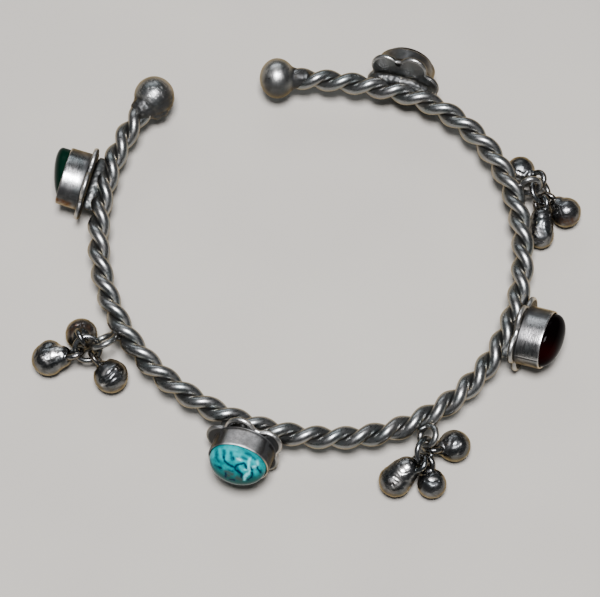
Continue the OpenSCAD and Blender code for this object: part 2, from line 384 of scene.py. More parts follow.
def silver(name, bright, wear_and_highlight_colour, rough, patina=0.45, grain=0.15, pits=0.0, scratch=0.15, rust=0.2, cloud=300.0):
    """Oxidised silver: clouded grey, brown where stained; darker where marked for patina and painted shade,
    with less metal there; brighter where marked for wear and painted highlights; golden where a painted
    reflection is marked.
    """
    m, nt, b = nodes_of(name)
    coords = nt.nodes.new("ShaderNodeTexCoord").outputs["Object"]
    uv = nt.nodes.new("ShaderNodeUVMap").outputs["UV"]
    low = tuple(c * (1 - patina) for c in bright)
    cool = tuple(c * k for c, k in zip(low, (0.86, 1.02, 1.04)))
    base = ramp(nt, noise(nt, coords, cloud, 5.0, 0.62), [(0.34, bright), (0.66, low)])
    cooler = ramp(nt, noise(nt, coords, 520.0, 2.0), [(0.45, grey(0)), (0.7, grey(0.6))])
    base = mix(nt, cooler, base, (*cool, 1))
    brown = ramp(nt, noise(nt, coords, 240.0, 3.0, 0.5), [(0.56, grey(0)), (0.74, grey(rust))])
    base = mix(nt, brown, base, (0.20, 0.12, 0.06, 1))
    base = mix(nt, mark(nt, "cavity"), base, (0.022, 0.023, 0.024, 1))
    patchy = ramp(nt, noise(nt, coords, 1100.0, 4.0, 0.65), [(0.38, grey(0.25)), (0.56, grey(1))])
    stained = mix(nt, 1.0, mark(nt, "stain"), patchy, "MULTIPLY")
    base = mix(nt, stained, base, (0.10, 0.04, 0.016, 1))
    chalky = ramp(nt, noise(nt, coords, 1500.0, 5.0, 0.7),
                  [(0.36, grey(0.10)), (0.5, grey(0.17)), (0.66, grey(0.27))])
    base = mix(nt, mark(nt, "matte"), base, chalky)
    # Painted golden reflection, as on the bezels' lips.
    base = mix(nt, mark(nt, "gold"), base, (0.50, 0.38, 0.22, 1))
    nt.links.new(mix(nt, mark(nt, "wear"), base, (*wear_and_highlight_colour, 1)), b.inputs["Base Color"])
    # Less metal where patina and painted shade are marked, so these places stay dark.
    metal = ramp(nt, mark(nt, "cavity"), [(0.8, grey(1)), (1.0, grey(0.3))])
    nt.links.new(mix(nt, mark(nt, "matte"), metal, grey(0.25)), b.inputs["Metallic"])
    speck = noise(nt, coords, 2400.0, 4.0, 0.6)
    lines = noise(nt, uv, 6.0, 4.0, 0.65, (0.12, 0.9, 1.0))
    satin = ramp(nt, mix(nt, 0.5, speck, lines), [(0.36, grey(rough - 0.09)), (0.64, grey(rough + 0.09))])
    satin = mix(nt, mark(nt, "cavity"), satin, grey(0.5))
    satin = mix(nt, mark(nt, "matte"), satin, grey(0.6))
    nt.links.new(mix(nt, stained, satin, grey(0.5)), b.inputs["Roughness"])
    n1 = bump(nt, noise(nt, coords, 800.0, 4.0, 0.6), grain, 0.00012)
    n1 = bump(nt, lines, scratch, 0.00005, n1)
    if pits:
        cells = node(nt, "ShaderNodeTexVoronoi", feature="F1", Scale=2600.0)
        nt.links.new(coords, cells.inputs["Vector"])
        n1 = bump(nt, cells.outputs["Distance"], pits, 0.00012, n1)
    nt.links.new(bump(nt, speck, grain, 0.00003, n1), b.inputs["Normal"])
    b.inputs["Specular Tint"].default_value = (1.0, 0.80, 0.50, 1)
    b.inputs["Specular IOR Level"].default_value = 0.15
    return m


def dark_stone(name, deep, glow, rough=0.07, ior=1.07):
    """Near-black polished stone with a painted glow, a lighter colour where its mark says so."""
    m, nt, b = nodes_of(name)
    coords = nt.nodes.new("ShaderNodeTexCoord").outputs["Object"]
    cloudy = ramp(nt, noise(nt, coords, 350.0, 4.0), [(0.3, tuple(0.6 * c for c in deep)), (0.7, deep)])
    nt.links.new(mix(nt, mark(nt, "glow"), cloudy, (*glow, 1)), b.inputs["Base Color"])
    polish = ramp(nt, noise(nt, coords, 900.0, 3.0), [(0.3, grey(rough)), (0.8, grey(rough + 0.08))])
    nt.links.new(polish, b.inputs["Roughness"])
    nt.links.new(bump(nt, noise(nt, coords, 500.0, 2.0), 0.06, 0.0001), b.inputs["Normal"])
    b.inputs["IOR"].default_value = ior
    return m


def stone_turquoise():
    """Teal stone: lighter and darker clouds, dark-blue veins, a chalky patch and brown matrix by marks, and
    painted shade that makes it darker and greener towards the bottom.
    """
    m, nt, b = nodes_of("turquoise_stone")
    coords = nt.nodes.new("ShaderNodeTexCoord").outputs["Object"]
    cloud = noise(nt, coords, 900.0, 4.0, 0.6)
    base = ramp(nt, cloud,
                [(0.30, (0.0, 0.11, 0.118)), (0.5, (0.0, 0.195, 0.205)), (0.72, (0.0, 0.27, 0.28))])
    base = mix(nt, mark(nt, "light"), base, (0.0, 0.37, 0.41, 1))
    base = mix(nt, mark(nt, "stripe"), base, (0.0, 0.04, 0.06, 1))
    # Painted shade towards the bottom of the stone.
    base = mix(nt, mark(nt, "low"), base, (0.004, 0.05, 0.04, 1))
    base = mix(nt, mark(nt, "brown"), base, (0.035, 0.04, 0.034, 1))
    base = mix(nt, mark(nt, "pale"), base, (0.16, 0.58, 0.62, 1))
    threads = node(nt, "ShaderNodeTexVoronoi", feature="DISTANCE_TO_EDGE", Scale=1300.0)
    drift = node(nt, "ShaderNodeTexNoise", Scale=900.0, Detail=3.0).outputs["Color"]
    warped = mix(nt, 0.0006, coords, drift, "ADD")
    nt.links.new(warped, threads.inputs["Vector"])
    thin = ramp(nt, threads.outputs["Distance"], [(0.0, grey(0.8)), (0.05, grey(0.35)), (0.13, grey(0))])
    base = mix(nt, mix(nt, 1.0, thin, mark(nt, "fine"), "MULTIPLY"), base, (0.0, 0.035, 0.06, 1))
    base = mix(nt, mark(nt, "vein"), base, (0.0, 0.008, 0.028, 1))
    nt.links.new(base, b.inputs["Base Color"])
    polish = ramp(nt, noise(nt, coords, 1400.0, 3.0), [(0.3, grey(0.1)), (0.8, grey(0.2))])
    nt.links.new(polish, b.inputs["Roughness"])
    nt.links.new(bump(nt, mark(nt, "vein"), -0.2, 0.00004), b.inputs["Normal"])
    b.inputs["IOR"].default_value = 1.16
    return m


rope_silver = silver("rope_silver", (0.29, 0.295, 0.295), (0.6, 0.6, 0.6),
                     rough=0.31, patina=0.35, grain=0.08, scratch=0.06, rust=0.12)
# A darker copy of the silver for the links: painted shade, as they hang in shadow.
shaded_ring_silver = silver("shaded_ring_silver", (0.19, 0.195, 0.2), (0.6, 0.6, 0.6),
                     rough=0.28, patina=0.4, grain=0.05, scratch=0.0, rust=0.12)
ball_silver = silver("ball_silver", (0.27, 0.275, 0.275), (0.7, 0.7, 0.68),
                     rough=0.32, patina=0.45, grain=0.15, scratch=0.6, rust=0.12)
solder_silver = silver("solder_silver", (0.19, 0.195, 0.195), (0.6, 0.6, 0.6),
                       rough=0.42, patina=0.4, grain=0.35, scratch=0.0, rust=0.1)
bezel_silver = silver("bezel_silver", (0.36, 0.36, 0.362), (0.8, 0.79, 0.80),
                      rough=0.28, patina=0.55, grain=0.1, scratch=0.45, rust=0.25)
plate_silver = silver("plate_silver", (0.20, 0.205, 0.205), (0.75, 0.74, 0.72),
                      rough=0.36, patina=0.45, grain=0.4, pits=0.15, scratch=0.0, rust=0.15)
cast_silver = silver("cast_silver", (0.19, 0.195, 0.2), (0.6, 0.59, 0.57),
                     rough=0.26, patina=0.6, grain=0.4, pits=0.15, scratch=0.0, rust=0.25, cloud=480.0)
green = dark_stone("green_stone", (0.0015, 0.012, 0.007), (0.010, 0.05, 0.03))
red = dark_stone("red_stone", (0.0008, 0.0003, 0.0004), (0.011, 0.0003, 0.0004))
turquoise = stone_turquoise()


# Rope: two round wires
WIRE_R = ROPE_D / (4 - 2 * MERGE)
WIRE_OFF = WIRE_R * (1 - MERGE)


def strand(side, across=24, step=0.26):
    s = np.linspace(BALL_D / 4, LENGTH - BALL_D / 4, int(LENGTH / step))
    m, _, n = path(s)
    a = np.radians(TWIST_START + 360 * s / LEAD) + (math.pi if side < 0 else 0)
    u = n * np.cos(a)[:, None] + UP * np.sin(a)[:, None]
    wander = 0.02 * lumps(np.column_stack([s, s * 0 + side, s * 0]), 5.0, 31)
    c = m + u * (WIRE_OFF - 0.02 + wander)[:, None]
    tan = unit(np.gradient(c, axis=0))
    u = unit(u - tan * (u * tan).sum(1)[:, None])
    w = np.cross(tan, u)
    phi = np.linspace(0, 2 * np.pi, across, endpoint=False)
    spoke = u[:, None, :] * np.cos(phi)[None, :, None] + w[:, None, :] * np.sin(phi)[None, :, None]
    p = (c[:, None, :] + WIRE_R * spoke).reshape(-1, 3)
    out = unit(p - np.repeat(c, across, axis=0))
    dent = 0.01 * (1 + lumps(p, 1.1, 5 + side)) + 0.025 * smooth(lumps(p, 2.2, 9 + side), 0.3, 0.8)
    p = p - out * dent[:, None]
    # The groove between the two wires is darker: patina in the hollow and painted shade.
    reach = np.hypot(WIRE_OFF + WIRE_R * np.cos(phi), WIRE_R * np.sin(phi))
    cavity = np.tile(1 - smooth(reach, 0.5, 1.35), len(s))
    uv = np.column_stack([np.repeat(s, across), np.tile(phi * WIRE_R, len(s))])
    return p, capped_faces(len(s), across), uv, {"cavity": cavity}


make("strand_first", [strand(1)], rope_silver, "silver", "band")
make("strand_second", [strand(-1)], rope_silver, "silver", "band")


# Ball ends: the left one is rough and sits in solder, the right one is smooth.
# Places on the left ball are shares of its radius, rightward and upward in the picture.
# Heaps of solder, with how much nearer they lie and their size in mm
HEAPS = ((-0.36, -0.80, 0.7, 1.3), (0.08, -0.86, 0.1, 1.05),
         (-0.66, -0.48, 0.8, 1.2), (0.45, -0.72, 0.3, 0.95))
# Flat smears of it, with their distance from the ball's middle and their size in mm
SMEARS = ((0.45, -0.72, 2.65, 0.85), (0.1, -0.88, 2.6, 0.75),
          (0.75, -0.5, 2.65, 0.6), (-0.2, -0.8, 2.5, 0.75))
SCRATCHES = (
    [(-0.5, 0.62), (0.1, 0.1)], [(-0.3, 0.7), (0.4, 0.1)], [(-0.62, 0.4), (-0.1, -0.05)],
    [(-0.1, 0.75), (0.6, 0.2)], [(0.1, 0.6), (0.45, 0.3)], [(-0.7, 0.15), (-0.35, -0.15)],
    [(-0.45, 0.35), (0.15, -0.15)], [(0.3, 0.72), (0.65, 0.45)], [(-0.2, 0.3), (0.25, -0.05)],
    [(0.0, 0.35), (0.5, -0.1)], [(-0.55, -0.05), (-0.2, -0.4)])
# Painted sparkles on the near side of the left ball, as shares of its radius
PAINTED_SPARKLES = ((-0.55, 0.22), (0.4, 0.38), (-0.05, 0.76), (-0.38, -0.72), (-0.42, -0.9), (0.08, 0.68))


def ball_left():
    m, t, n = at(0)
    r = BALL_D / 2
    xs, rs = ball_profile(r, 2.7, 2.0, 3.3, tail=2.0)
    parts = [revolve(m, t, xs, rs),
             blob(m + t * 2.6 - n * 0.5 + UP * 0.3, (t * 1.5, n * 1.35, UP * 1.3), 4),
             blob(m + t * 3.2 + n * 0.4 - UP * 0.4, (t * 1.5, n * 1.2, UP * 1.1), 7)]
    for x, y, near, size in HEAPS:
        middle = m + (RIGHTWARD * x + UPWARD * y) * r + NEARER * near
        parts.append(blob(middle, (RIGHTWARD * size, UPWARD * size, NEARER * size), 8, 0.1, 1.1))
    for x, y, depth, size in SMEARS:
        lower = facing(x, y)
        side_way = unit(np.cross(lower, UP))
        radii = (lower * 0.5, side_way * size, np.cross(lower, side_way) * size * 0.8)
        parts.append(blob(m + lower * depth, radii, 5))
    p, normal, faces = fused(parts, 0.075)
    scratches = sum(score(p, m, line, 0.03) for line in SCRATCHES)
    painted_sparkles = sum(score(p, m, [spot, spot], 0.045) for spot in PAINTED_SPARKLES)
    # Painted shade: darker on the ball's lower side as seen from the camera and on its neck
    low = smooth(-(p - m) @ (0.85 * UPWARD - 0.5 * RIGHTWARD), 0.2, 2.3)
    neck = smooth((p - m) @ t, 1.7, 2.5)
    rough_way = np.maximum(low, neck)
    push = 0.02 * (1 + lumps(p, 1.7, 3)) + (0.012 + 0.055 * rough_way) * (1 + lumps(p, 0.5, 4)) \
        + 0.03 * scratches
    push += 0.07 * neck * (1 + lumps(p, 0.9, 15))
    uv = np.column_stack([p @ (RIGHTWARD - UPWARD), p @ (UPWARD + RIGHTWARD)])
    dark = np.maximum(1.1 * low * (0.75 + 0.3 * lumps(p, 0.8, 9)), neck * (0.8 + 0.35 * lumps(p, 0.7, 10)))
    # Painted highlight: a second bright patch low on the ball's left, which also lifts the shade there
    second = score(p, m, [(-0.42, -0.12), (-0.25, -0.22)], 0.13) \
        + 0.4 * score(p, m, [(-0.74, -0.35), (-0.6, -0.55)], 0.06)
    second = second * (1 - 0.7 * neck)
    # Brightened by real scratches and by the painted sparkles and highlight
    shine = np.clip((0.35 * scratches + 0.6 * painted_sparkles) * (1 - 0.6 * neck) + 0.5 * second, 0, 1)
    dark = np.clip(dark * (1 - 0.8 * second), 0, 1)
    return p - normal * push[:, None], faces, uv, {"cavity": dark, "wear": shine}


def ball_right():
    m, t, _ = at(LENGTH)
    xs, rs = ball_profile(RIGHT_BALL_D / 2, NECK_ROOT / 2, NECK_TIP / 2, NECK_REACH, 40,
                          tail=1.7, flat=RIGHT_BALL_L / RIGHT_BALL_D)
    p, faces, _, _ = revolve(m, -t, xs, rs, around=96, rough=0.014, size=2.0, seed=8)
    neck = smooth((p - m) @ -t, 1.8, 2.8)
    sink = neck * (0.08 * (1 + lumps(p, 1.1, 12)) + 0.07 * (1 + lumps(p, 0.55, 14)))
    p = p - unit(p - m + t * 3.5) * sink[:, None]
    spots = smooth(lumps(p, 1.6, 19), 0.25, 0.7)
    uv = np.column_stack([p @ UPWARD, (p - m) @ t])
    # Painted shade: darker on the lower side as seen from the camera and on the neck, with random dark spots
    low = smooth(-(p - m) @ UPWARD, 0.3, 2.5)
    dark = np.clip(0.95 * neck * (0.9 + 0.25 * lumps(p, 0.9, 13)) + 0.25 * spots + 0.7 * low, 0, 1)
    # Painted highlight: glints that widen the bright spot on the near side
    painted_glints = score(p, m, [(-0.5, 0.28), (-0.42, 0.1)], 0.13) \
        + 0.75 * score(p, m, [(-0.1, 0.5), (-0.05, -0.1)], 0.34)
    return p, faces, uv, {"cavity": dark * (1 - painted_glints.clip(0, 1)), "wear": np.clip(0.75 * painted_glints, 0, 1)}


make("ball_left", [ball_left()], ball_silver, "silver", "band")
make("ball_right", [ball_right()], ball_silver, "silver", "band")


# Settings
def lobe_centre(clock, k):
    a = math.radians(clock + 360 * k / LOBES)
    return np.array([(PLATE_L / 2 - LOBE_R) * math.cos(a), (PLATE_W / 2 - LOBE_R) * math.sin(a)])


def setting_frame(row):
    s, turn, lean, standoff, clock = row[:5]
    m, t, n = at(s)
    reach = max(LOBE_R - lobe_centre(clock, k)[1] for k in range(LOBES))
    lean_r = math.radians(lean)
    p = m + n * standoff
    p[2] = reach * math.cos(lean_r) + PLATE_T * max(0.0, -math.sin(lean_r))
    heading = math.degrees(math.atan2(t[1], t[0]))
    rot = Matrix.Rotation(math.radians(heading - 90 + turn), 3, "Z") @ Matrix.Rotation(-lean_r, 3, "Y") \
        @ Matrix.Rotation(math.radians(90), 3, "Z") @ Matrix.Rotation(math.radians(90), 3, "X")
    return p, np.array(rot)


def plate_outline(clock, phi):
    d = np.column_stack([np.cos(phi), np.sin(phi)])
    shapes = [1 / np.sqrt((d[:, 0] / (BEZEL_L / 2 + 0.2)) ** 2 + (d[:, 1] / (BEZEL_W / 2 + 0.2)) ** 2)]
    for k in range(LOBES):
        c = lobe_centre(clock, k)
        off = np.abs(d[:, 0] * c[1] - d[:, 1] * c[0])
        hit = np.sqrt(np.maximum(LOBE_R ** 2 - off ** 2, 0))
        shapes.append(np.where((off < LOBE_R) & (d @ c > -LOBE_R), d @ c + hit, 0))
    top = np.max(shapes, axis=0)
    soft = np.log(sum(np.exp(14.0 * (v - top)) for v in shapes)) / 14.0 + top
    return np.minimum(soft, top + 0.04)


# How much painted shade darkens the back of each plate, and how bright the painted highlight on the rim of
# each of its lobes is
BACK_PAINTED_SHADE = {"left": 0.75, "front": 0.5, "right": 0.4, "back": 0.0}
RIM_PAINTED_HIGHLIGHT = {
    "left": (1.0, 1.0, 0.8, 0.4, 0.8),
    "front": (0.9, 1.0, 0.05, 0.3, 0.35),
    "right": (0.9, 0.8, 0.6, 0.4, 0.7),
    "back": (0.75, 0.6, 0.3, 0.4, 0.5),
}


def plate_part(row, p, rot, seed, side):
    n = 220
    phi = np.linspace(0, 2 * np.pi, n, endpoint=False)
    r = plate_outline(row[4], phi)
    half = PLATE_T / 2
    rows = [(0.25, 0, 0), (0.5, 0, 0), (0.72, 0, 0), (0.88, 0, 0), (1, half + 0.1, 0)]
    rows += [(1, half * (1 - math.cos(a)), half * (1 + math.sin(a))) for a in np.radians(range(-75, 76, 15))]
    rows += [(1, half + 0.1, PLATE_T), (1, half + 0.35, PLATE_T), (0.86, 0, PLATE_T), (0.7, 0, PLATE_T)]
    rim = np.repeat([1.0 if share == 1 and inset < half * 0.95 else 0.0 for share, inset, z in rows], n)
    rings = []
    for share, inset, z in rows:
        reach = r * share - inset
        rings.append(np.column_stack([reach * np.cos(phi), reach * np.sin(phi), np.full(n, z)]))
    q = np.vstack(rings)
    front = q[:, 2] > half
    # Painted shade: the plate's front face is dark and its back as dark as its side's entry says; the rim is
    # left out.
    cavity = np.where(front, 0.9, BACK_PAINTED_SHADE[side]) * (1 - rim)
    clock = (np.degrees(phi) - row[4]) % 360 / 72
    shine = np.interp(clock, range(6), RIM_PAINTED_HIGHLIGHT[side] + RIM_PAINTED_HIGHLIGHT[side][:1])
    # Painted highlight along the top of the rim, lobe by lobe; the rim's other side gets painted shade.
    facing_way = q[:, 2] if side != "back" else PLATE_T - q[:, 2]
    lit = smooth(facing_way, 0.2, 0.4) if side != "back" else smooth(facing_way, 0.58, 0.7)
    wear = rim * lit * np.tile(shine, len(rows)) * (0.6 + 0.6 * lumps(q, 1.5, seed + 2))
    cavity = np.maximum(cavity, rim * (1 - lit) * BACK_PAINTED_SHADE[side])
    q[:, 2] += np.where(front, -1, 1) * (1 - rim) * 0.03 * (1 + lumps(q, 0.55, seed))
    wall = unit(np.column_stack([q[:, 0], q[:, 1], np.zeros(len(q))]))
    q -= wall * (0.012 * (1 + lumps(q, 1.6, seed + 1)))[:, None]
    marks = {"cavity": cavity, "wear": np.clip(wear, 0, 1)}
    return p + q @ rot.T, capped_faces(len(rows), n), q[:, :2], marks


def bezel_part(row, p, rot, seed, side):
    h, n = row[5], 288
    phi = np.linspace(0, 2 * np.pi, n, endpoint=False)
    # How far the wall lies inside its outline, and its height above the plate
    profile = [(-0.12, 0.0), (-0.05, 0.05), (-0.01, 0.14), (0.0, 0.3), (0.0, 0.6), (0.01, h * 0.3),
               (0.015, h * 0.45), (0.02, h * 0.6), (0.02, h * 0.75), (0.02, h - 0.42), (0.03, h - 0.22),
               (0.05, h - 0.09), (0.10, h - 0.02), (0.17, h), (0.24, h - 0.02), (0.31, h - 0.08),
               (0.35, h - 0.3), (0.36, h - 0.9), (0.35, h - SEAT)]
    ex, ey = np.cos(phi), np.sin(phi)
    normal = unit(np.column_stack([ex * BEZEL_W / 2, ey * BEZEL_L / 2]))
    edge = np.column_stack([ex * BEZEL_L / 2, ey * BEZEL_W / 2])
    wave = lumps(np.column_stack([ex * 3, ey * 3, ex * 0]), 1.7, seed)
    wave2 = lumps(np.column_stack([ex * 4, ey * 4, ex * 0]), 0.7, seed + 1)
    rings = []
    for inset, z in profile:
        hand = smooth(z, h * 0.3, h)
        xy = edge - normal * (inset + 0.012 + 0.02 * hand * wave2)[:, None]
        rings.append(np.column_stack([xy, PLATE_T + z - hand * (0.035 * (1 + wave) + 0.015 * (1 + wave2))]))
    q = np.vstack(rings)
    inset, z = [np.repeat([pr[i] for pr in profile], n) for i in (0, 1)]
    side_way = np.tile(normal, (len(profile), 1))
    outer = inset < 0.2
    q[:, :2] -= side_way * (0.018 * (1 + lumps(q, 1.3, seed + 2)) * outer)[:, None]
    turn = np.degrees(np.tile(phi, len(profile)))
    # Painted shade low on the wall by the plate and on the inner wall; a brighter worn edge along the lip.
    marks = {"cavity": np.maximum((1 - smooth(z, 0.1, 0.8)) * 0.85, (inset > 0.33) * 1.0),
             "wear": smooth(z, h - 0.16, h - 0.04) * (inset < 0.27) * (0.35 + 0.3 * lumps(q, 0.9, seed + 3))}
    if side in BEZEL_MARKS:
        for kind, angle, spread, lo, hi, depth, push in BEZEL_MARKS[side]:
            away = np.abs((turn - angle + 180) % 360 - 180)
            spot = (1 - smooth(away, 0.5 * spread, spread)) * smooth(z, lo - 0.3, lo)
            spot = spot * (1 - smooth(z, hi, hi + 0.3)) * (inset < 0.34)
            spot = spot * np.clip(depth * (1 + 0.5 * lumps(q, 0.7, seed + 5)), 0, 1)
            marks[kind] = np.maximum(marks.get(kind, 0), spot)
            q[:, :2] -= side_way * (push * spot * outer)[:, None]
    marks["wear"] = np.clip(marks["wear"] * (1 - marks.get("gold", 0)) * (1 - 0.8 * marks["cavity"]), 0, 1)
    uv = np.column_stack([np.tile(phi * 4.1, len(profile)), q[:, 2]])
    return p + q @ rot.T, grid_faces(len(profile), n), uv, marks


# Marks on the bezels' walls: kind, angle and half width in degrees, heights from and to, strength, dent
BEZEL_MARKS = {
    # Left: a real stain, painted shade at both ends of the wall, painted golden reflections on the lip, a
    # painted highlight band.
    "left": [
        ("stain", 5, 18, 1.2, 3.4, 1.0, 0.03), ("cavity", 30, 30, 0.2, 3.4, 0.75, 0.0),
        ("cavity", 150, 28, 0.2, 3.0, 0.7, 0.0), ("gold", 145, 30, 3.5, 3.6, 0.4, 0.0),
        ("gold", 0, 25, 3.5, 3.6, 0.4, 0.0), ("wear", 80, 14, 1.0, 3.2, 0.4, 0.0)],
    # Front: a worn matte patch, painted shade at both ends and under the lip's low side, a painted golden
    # reflection, a painted highlight on the lip.
    "front": [
        ("matte", 92, 40, 0.5, 3.4, 0.75, 0.0), ("cavity", 158, 38, 0.0, 3.5, 0.9, 0.0),
        ("cavity", 22, 40, 0.0, 3.5, 0.85, 0.0), ("gold", 5, 40, 3.6, 3.7, 0.7, 0.0),
        ("wear", 96, 22, 3.5, 3.6, 1.0, 0.0), ("cavity", 255, 80, 2.4, 3.7, 2.2, 0.0)],
    # Right: a painted highlight, a seam drawn as a dented dark line beside a light one, painted shade,
    # painted golden reflections on the lip.
    "right": [
        ("wear", 105, 17, 0.5, 3.4, 0.75, 0.0), ("wear", 156, 1.6, 0.2, 3.4, 0.45, 0.0),
        ("cavity", 159, 2, 0.2, 3.4, 0.9, 0.03), ("cavity", 185, 24, 0.2, 3.3, 0.7, 0.0),
        ("cavity", 50, 22, 0.2, 3.2, 0.6, 0.0), ("gold", 38, 26, 3.75, 3.8, 0.6, 0.0),
        ("gold", 180, 20, 3.75, 3.8, 0.6, 0.0)],
    # Back: painted shade on both sides.
    "back": [
        ("cavity", 90, 150, 0.0, 3.1, 0.55, 0.0), ("cavity", 270, 150, 0.0, 3.1, 0.55, 0.0)],
}


# Places on the turquoise in mm from its middle, rightward and upward in the picture, then width and strength
TURQUOISE = {
    "vein": (0.18, 1.0, [
        [(-1.5, 2.0), (-1.4, 1.4), (-1.1, 1.2), (-0.8, 0.9), (-0.4, 0.7), (0.0, 0.6)],
        [(1.4, 1.1), (0.7, 1.1), (0.3, 0.9), (0.1, 0.5), (0.2, 0.1), (0.6, -0.1), (1.0, -0.5), (1.0, -0.9)],
        [(3.2, 0.5), (3.3, 0.3), (3.6, 0.0), (3.7, -0.3)], [(2.4, 0.5), (2.5, 0.1)],
        [(1.5, 1.0), (1.7, 0.4)], [(2.5, -0.2), (2.5, -0.6), (2.3, -1.0), (1.9, -1.3)],
        [(-2.3, 0.5), (-1.9, 0.3)], [(-0.2, 1.9), (-0.1, 1.7)],
        [(-1.3, -0.4), (-1.3, -0.9)], [(-0.6, -1.3), (-0.1, -1.4)]]),
    "stripe": (0.22, 0.85, [
        [(-2.6, 2.7), (-2.6, 1.7), (-2.3, 1.3)], [(-1.5, 2.9), (-1.5, 2.0)], [(-0.5, 2.6), (-0.4, 1.6)],
        [(-3.7, 1.4), (-3.4, 0.7), (-3.0, 0.2)], [(1.2, 1.9), (1.7, 1.7)], [(-0.8, 0.1), (-0.3, 0.0)],
        [(-2.8, 0.8), (-2.5, 0.4)], [(1.6, 2.6), (2.5, 2.1), (3.0, 1.6)],
        [(0.3, 0.7), (1.0, -0.7)]]),
    "light": (0.28, 0.6, [
        [(-3.1, 2.6), (-3.1, 2.0)], [(-2.1, 2.9), (-1.9, 1.9)], [(-1.0, 2.9), (-1.0, 1.7)],
        [(-1.4, 3.1), (0.2, 3.0)], [(0.1, 2.5), (0.8, 2.2)], [(1.0, 1.4), (1.6, 1.4)],
        [(0.7, 0.6), (1.2, 0.1)], [(2.7, 1.6), (2.9, 1.0)], [(2.9, -0.1), (3.0, -0.6)]]),
    "pale": (0.17, 0.95, [
        [(2.2, 1.8), (2.1, 1.4), (2.0, 1.0), (2.0, 0.3)], [(2.5, 0.5), (3.0, 0.6)], [(3.2, 1.3), (3.3, 0.9)],
        [(2.1, 0.0), (2.0, -0.4), (1.5, -0.8), (1.4, -1.3)], [(1.8, -0.4), (1.5, -0.8)],
        [(1.5, 0.2), (1.7, 0.3)]]),
    "brown": (0.28, 0.85, [
        [(-1.3, -0.1), (-0.7, -0.3), (-0.3, -0.5)], [(-1.0, -0.6), (-0.8, -0.7)],
        [(0.3, -1.0), (0.9, -1.3)]]),
}


def paint_turquoise(q, points, normal):
    seen = smooth(normal @ NEARER, 0.0, 0.3)
    waver = [0.08 * lumps(q, 0.45, seed) + 0.06 * lumps(q, 0.2, seed + 3) for seed in (1, 2, 3)]
    d = points + np.column_stack(waver)
    xy = np.column_stack([d @ RIGHTWARD, d @ UPWARD])
    # Painted shade: darker and greener towards the bottom of the stone as seen from the camera.
    height = xy[:, 1] + 0.35 * np.minimum(xy[:, 0], 0)
    marks = {"fine": 1 - 0.75 * seen, "low": 0.9 * seen * (1 - smooth(height, -1.5, 0.3))}
    for kind, (width, strength, lines) in TURQUOISE.items():
        near = np.full(len(q), 9.0)
        for line in lines:
            stops = [np.array(stop) for stop in line]
            for a, b in zip(stops[:-1], stops[1:]):
                t = np.clip((xy - a) @ (b - a) / ((b - a) @ (b - a)), 0, 1)
                near = np.minimum(near, np.linalg.norm(xy - a - t[:, None] * (b - a), axis=1))
        marks[kind] = strength * seen * np.exp(-(near / width) ** 2)
    return marks


def dome_part(row, p, rot, seed, side):
    h, dome, rise = row[5:8]
    n, rows = (256, 80) if side == "front" else (112, 30)
    phi = np.linspace(0, 2 * np.pi, n, endpoint=False)
    a = BEZEL_L / 2 - BEZEL_WALL - 0.05
    b = BEZEL_W / 2 - BEZEL_WALL - 0.05
    rings = [np.column_stack([a * np.cos(phi), b * np.sin(phi), np.full(n, PLATE_T + h - SEAT + 0.05)])]
    for t in np.linspace(0, 0.5 * np.pi - 0.01, rows):
        k = math.cos(t) ** 0.85
        x = a * k * np.cos(phi)
        rings.append(np.column_stack([x, b * k * np.sin(phi), PLATE_T + h + dome * math.sin(t) + rise * x]))
    q = np.vstack(rings)
    low = q[:, 2] - (PLATE_T + h + rise * q[:, 0])
    q[:, 2] -= 0.015 * (1 + lumps(q, 2.2, seed)) * smooth(low, 0.1, 0.6)
    marks = {}
    if side == "front":
        steep = np.column_stack([q[:, 0] / a ** 2, q[:, 1] / b ** 2, np.maximum(low, 0.05) / dome ** 2])
        normal = unit(steep) @ rot.T
        marks = paint_turquoise(q, (q - [0, 0, PLATE_T + h + 1.5]) @ rot.T, normal)
    elif side != "left":
        # Painted glow: a lighter red patch on the red stones.
        away = np.hypot(q[:, 0] + 2.4, q[:, 1] - 1.1)
        marks = {"glow": np.exp(-(away / 1.5) ** 2) * (0.8 + 0.3 * lumps(q, 1.5, seed))}
    return p + q @ rot.T, capped_faces(rows + 1, n), q[:, :2], marks


# How far the solder of each setting is heaped up over the rope's middle, how tall it is there, how dark its
# painted shade is
SOLDER = {
    "left": (0.35, 1.25, 0.25),
    "front": (0.0, 1.3, 0.4),
    "right": (0.1, 1.3, 0.35),
    "back": (0.7, 1.35, 0.6),
}


def solder_part(row, p, rot, seed, side):
    """Solder that fills the corner between the rope and the back of a plate."""
    heap, tall, dark = SOLDER[side]
    n, stations = 64, np.linspace(-4.4, 4.4, 110)
    u = np.linspace(0, 2 * np.pi, n, endpoint=False)
    rings = []
    for along in stations:
        m, _, _ = at(row[0] + along)
        taper = math.sqrt(max(1 - (along / 4.45) ** 2, 0.003))
        level = (ROPE_Z + heap - p[2]) / rot[2, 1]
        reach = p + rot[:, 0] * along + rot[:, 1] * level + rot[:, 2] * 0.3 * PLATE_T - m
        across = reach * 0.5 * (0.5 + 0.5 * taper)
        rings.append(m + reach * 0.55 + np.cos(u)[:, None] * across - np.sin(u)[:, None] * UP * tall * taper)
    q = np.vstack(rings)
    middle = np.repeat([ring.mean(axis=0) for ring in rings], n, axis=0)
    push = 0.09 * (1 + lumps(q, 1.6, seed)) + 0.06 * (1 + lumps(q, 0.6, seed + 1)) \
        + 0.03 * (1 + lumps(q, 0.35, seed + 3))
    # Painted shade, mottled, and small painted glints.
    shade = {"cavity": np.clip(dark + 0.3 * lumps(q, 1.0, seed + 2), 0, 1),
             "wear": 0.7 * smooth(lumps(q, 0.45, seed + 4), 0.6, 0.8)}
    return q - unit(q - middle) * push[:, None], capped_faces(len(stations), n), None, shade


